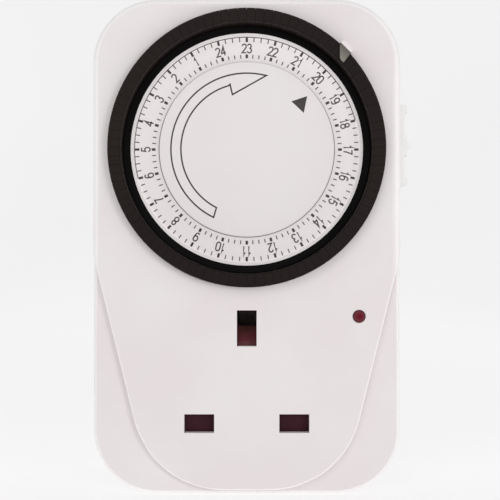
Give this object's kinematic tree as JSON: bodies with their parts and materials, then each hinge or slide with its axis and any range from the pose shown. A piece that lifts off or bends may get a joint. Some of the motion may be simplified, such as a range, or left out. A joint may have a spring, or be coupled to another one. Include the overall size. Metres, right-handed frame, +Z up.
{
  "type": "plug in timer switch",
  "caption": "Mains plug in timer with a rotating 24 hour dial ringed by push segments, a three pin outlet on its face, an indicator, a side slide switch and a three pin plug at the back.",
  "frame": {"origin": "middle of the body outline on the rear face that meets the wall outlet", "axes": "+Z up, towards the dial; the face with the dial and the outlet looks along -Y; +X to the right seen from the front"},
  "size_m": [0.0763, 0.0678, 0.116],
  "materials": {
    "case_white": "satin",
    "dial_white": "satin",
    "dial_black": "satin",
    "pointer_grey": "satin",
    "neon_red": "gloss",
    "shutter_maroon": "satin",
    "steel": "satin",
    "sleeve_black": "matte",
    "brass": "satin",
    "copper": "satin",
    "inner_plastic": "matte",
    "gear_plastic": "matte"
  },
  "bodies": {
    "housing": {"front_cover": "case_white", "rear_cover": "case_white", "housing_screws": "steel", "inner_screws": "steel", "chassis_plate": "inner_plastic", "centre_disc": "dial_white", "time_pointer": "pointer_grey", "arbors_and_lever_pin": "steel", "motor_plate": "steel", "motor_can": "steel", "motor_coil": "copper", "microswitch": "sleeve_black", "slider_bezel": "case_white", "neon_lens": "neon_red", "neon_lamp": "neon_red", "plug_pin_earth": "brass", "plug_pin_live": "brass", "plug_pin_neutral": "brass", "pin_sleeves": "sleeve_black", "neutral_strip": "brass", "live_strips": "brass", "earth_strip": "brass", "contact_carrier": "sleeve_black", "shutter_spring": "steel"},
    "dial": {"dial_carrier": "dial_black", "dial_scale": "dial_white"},
    "drive_shaft": {"drive_pinion": "gear_plastic", "clutch_spring": "gear_plastic"},
    "clutch_wheel": {"clutch_wheel": "gear_plastic"},
    "second_wheel": {"second_wheel": "gear_plastic"},
    "third_wheel": {"third_wheel": "gear_plastic"},
    "rotor": {"motor_rotor": "gear_plastic"},
    "lever": {"follower_lever": "gear_plastic"},
    "plunger": {"microswitch_plunger": "shutter_maroon"},
    "slider": {"override_slider": "case_white"},
    "shutter": {"shutter": "shutter_maroon"},
    "hour_01": {"hour_01_tappets": "dial_black"},
    "hour_02": {"hour_02_tappets": "dial_black"},
    "hour_03": {"hour_03_tappets": "dial_black"},
    "hour_04": {"hour_04_tappets": "dial_black"},
    "hour_05": {"hour_05_tappets": "dial_black"},
    "hour_06": {"hour_06_tappets": "dial_black"},
    "hour_07": {"hour_07_tappets": "dial_black"},
    "hour_08": {"hour_08_tappets": "dial_black"},
    "hour_09": {"hour_09_tappets": "dial_black"},
    "hour_10": {"hour_10_tappets": "dial_black"},
    "hour_11": {"hour_11_tappets": "dial_black"},
    "hour_12": {"hour_12_tappets": "dial_black"},
    "hour_13": {"hour_13_tappets": "dial_black"},
    "hour_14": {"hour_14_tappets": "dial_black"},
    "hour_15": {"hour_15_tappets": "dial_black"},
    "hour_16": {"hour_16_tappets": "dial_black"},
    "hour_17": {"hour_17_tappets": "dial_black"},
    "hour_18": {"hour_18_tappets": "dial_black"},
    "hour_19": {"hour_19_tappets": "dial_black"},
    "hour_20": {"hour_20_tappets": "dial_black"},
    "hour_21": {"hour_21_tappets": "dial_black"},
    "hour_22": {"hour_22_tappets": "dial_black"},
    "hour_23": {"hour_23_tappets": "dial_black"},
    "hour_24": {"hour_24_tappets": "dial_black"}
  },
  "joints": [
    {"name": "dial_turn", "type": "hinge", "parent": "housing", "child": "dial", "pos_m": [0, -0.035, 0.023], "axis": [0, 1, 0], "continuous": true},
    {"name": "drive_pinion_turn", "type": "hinge", "parent": "housing", "child": "drive_shaft", "pos_m": [0, -0.029, 0.0038], "axis": [0, 1, 0], "continuous": true},
    {"name": "motor_turn", "type": "hinge", "parent": "housing", "child": "rotor", "pos_m": [0, -0.01, -0.003], "axis": [0, 1, 0], "continuous": true},
    {"name": "third_wheel_turn", "type": "hinge", "parent": "housing", "child": "third_wheel", "pos_m": [-0.012, -0.015, -0.00295], "axis": [0, 1, 0], "continuous": true},
    {"name": "second_wheel_turn", "type": "hinge", "parent": "housing", "child": "second_wheel", "pos_m": [-0.013, -0.018, 0.009], "axis": [0, 1, 0], "continuous": true},
    {"name": "clutch_wheel_turn", "type": "hinge", "parent": "housing", "child": "clutch_wheel", "pos_m": [0, -0.019, 0.0038], "axis": [0, 1, 0], "continuous": true},
    {"name": "override_slide", "type": "slide", "parent": "housing", "child": "slider", "axis": [0, 0, 1], "range_m": [-0.0045, 0.0045]},
    {"name": "shutter_slide", "type": "slide", "parent": "housing", "child": "shutter", "axis": [0, 0, -1], "range_m": [0, 0.0052], "stiffness_N_per_m": 60, "springref_m": -0.002, "deforming": ["shutter_spring"]},
    {"name": "tappets_01_press", "type": "slide", "parent": "dial", "child": "hour_01", "axis": [0, 1, 0], "range_m": [0, 0.0025]},
    {"name": "tappets_02_press", "type": "slide", "parent": "dial", "child": "hour_02", "axis": [0, 1, 0], "range_m": [0, 0.0025]},
    {"name": "tappets_03_press", "type": "slide", "parent": "dial", "child": "hour_03", "axis": [0, 1, 0], "range_m": [0, 0.0025]},
    {"name": "tappets_04_press", "type": "slide", "parent": "dial", "child": "hour_04", "axis": [0, 1, 0], "range_m": [0, 0.0025]},
    {"name": "tappets_05_press", "type": "slide", "parent": "dial", "child": "hour_05", "axis": [0, 1, 0], "range_m": [0, 0.0025]},
    {"name": "tappets_06_press", "type": "slide", "parent": "dial", "child": "hour_06", "axis": [0, 1, 0], "range_m": [0, 0.0025]},
    {"name": "tappets_07_press", "type": "slide", "parent": "dial", "child": "hour_07", "axis": [0, 1, 0], "range_m": [0, 0.0025]},
    {"name": "tappets_08_press", "type": "slide", "parent": "dial", "child": "hour_08", "axis": [0, 1, 0], "range_m": [0, 0.0025]},
    {"name": "tappets_09_press", "type": "slide", "parent": "dial", "child": "hour_09", "axis": [0, 1, 0], "range_m": [0, 0.0025]},
    {"name": "tappets_10_press", "type": "slide", "parent": "dial", "child": "hour_10", "axis": [0, 1, 0], "range_m": [0, 0.0025]},
    {"name": "tappets_11_press", "type": "slide", "parent": "dial", "child": "hour_11", "axis": [0, 1, 0], "range_m": [0, 0.0025]},
    {"name": "tappets_12_press", "type": "slide", "parent": "dial", "child": "hour_12", "axis": [0, 1, 0], "range_m": [0, 0.0025]},
    {"name": "tappets_13_press", "type": "slide", "parent": "dial", "child": "hour_13", "axis": [0, 1, 0], "range_m": [0, 0.0025]},
    {"name": "tappets_14_press", "type": "slide", "parent": "dial", "child": "hour_14", "axis": [0, 1, 0], "range_m": [0, 0.0025]},
    {"name": "tappets_15_press", "type": "slide", "parent": "dial", "child": "hour_15", "axis": [0, 1, 0], "range_m": [0, 0.0025]},
    {"name": "tappets_16_press", "type": "slide", "parent": "dial", "child": "hour_16", "axis": [0, 1, 0], "range_m": [0, 0.0025]},
    {"name": "tappets_17_press", "type": "slide", "parent": "dial", "child": "hour_17", "axis": [0, 1, 0], "range_m": [0, 0.0025]},
    {"name": "tappets_18_press", "type": "slide", "parent": "dial", "child": "hour_18", "axis": [0, 1, 0], "range_m": [0, 0.0025]},
    {"name": "tappets_19_press", "type": "slide", "parent": "dial", "child": "hour_19", "axis": [0, 1, 0], "range_m": [0, 0.0025]},
    {"name": "tappets_20_press", "type": "slide", "parent": "dial", "child": "hour_20", "axis": [0, 1, 0], "range_m": [0, 0.0025]},
    {"name": "tappets_21_press", "type": "slide", "parent": "dial", "child": "hour_21", "axis": [0, 1, 0], "range_m": [0, 0.0025]},
    {"name": "tappets_22_press", "type": "slide", "parent": "dial", "child": "hour_22", "axis": [0, 1, 0], "range_m": [0, 0.0025]},
    {"name": "tappets_23_press", "type": "slide", "parent": "dial", "child": "hour_23", "axis": [0, 1, 0], "range_m": [0, 0.0025]},
    {"name": "tappets_24_press", "type": "slide", "parent": "dial", "child": "hour_24", "axis": [0, 1, 0], "range_m": [0, 0.0025]},
    {"name": "follower_lever_tilt", "type": "hinge", "parent": "housing", "child": "lever", "pos_m": [0.0187, -0.023, 0.029], "axis": [-1, 0, 0], "range_deg": [0, 7.1]},
    {"name": "microswitch_press", "type": "slide", "parent": "housing", "child": "plunger", "axis": [0, 1, 0], "range_m": [0, 0.0014]}
  ],
  "couplings": [
    {"joint": "drive_pinion_turn", "follows": "dial_turn", "ratio": 5},
    {"joint": "third_wheel_turn", "follows": "motor_turn", "ratio": -0.2},
    {"joint": "second_wheel_turn", "follows": "motor_turn", "ratio": 0.04},
    {"joint": "clutch_wheel_turn", "follows": "motor_turn", "ratio": -0.0066667},
    {"joint": "follower_lever_tilt", "follows": "tappets_20_press", "rad_per_m": 48.87},
    {"joint": "microswitch_press", "follows": "tappets_20_press", "ratio": 0.54}
  ]
}
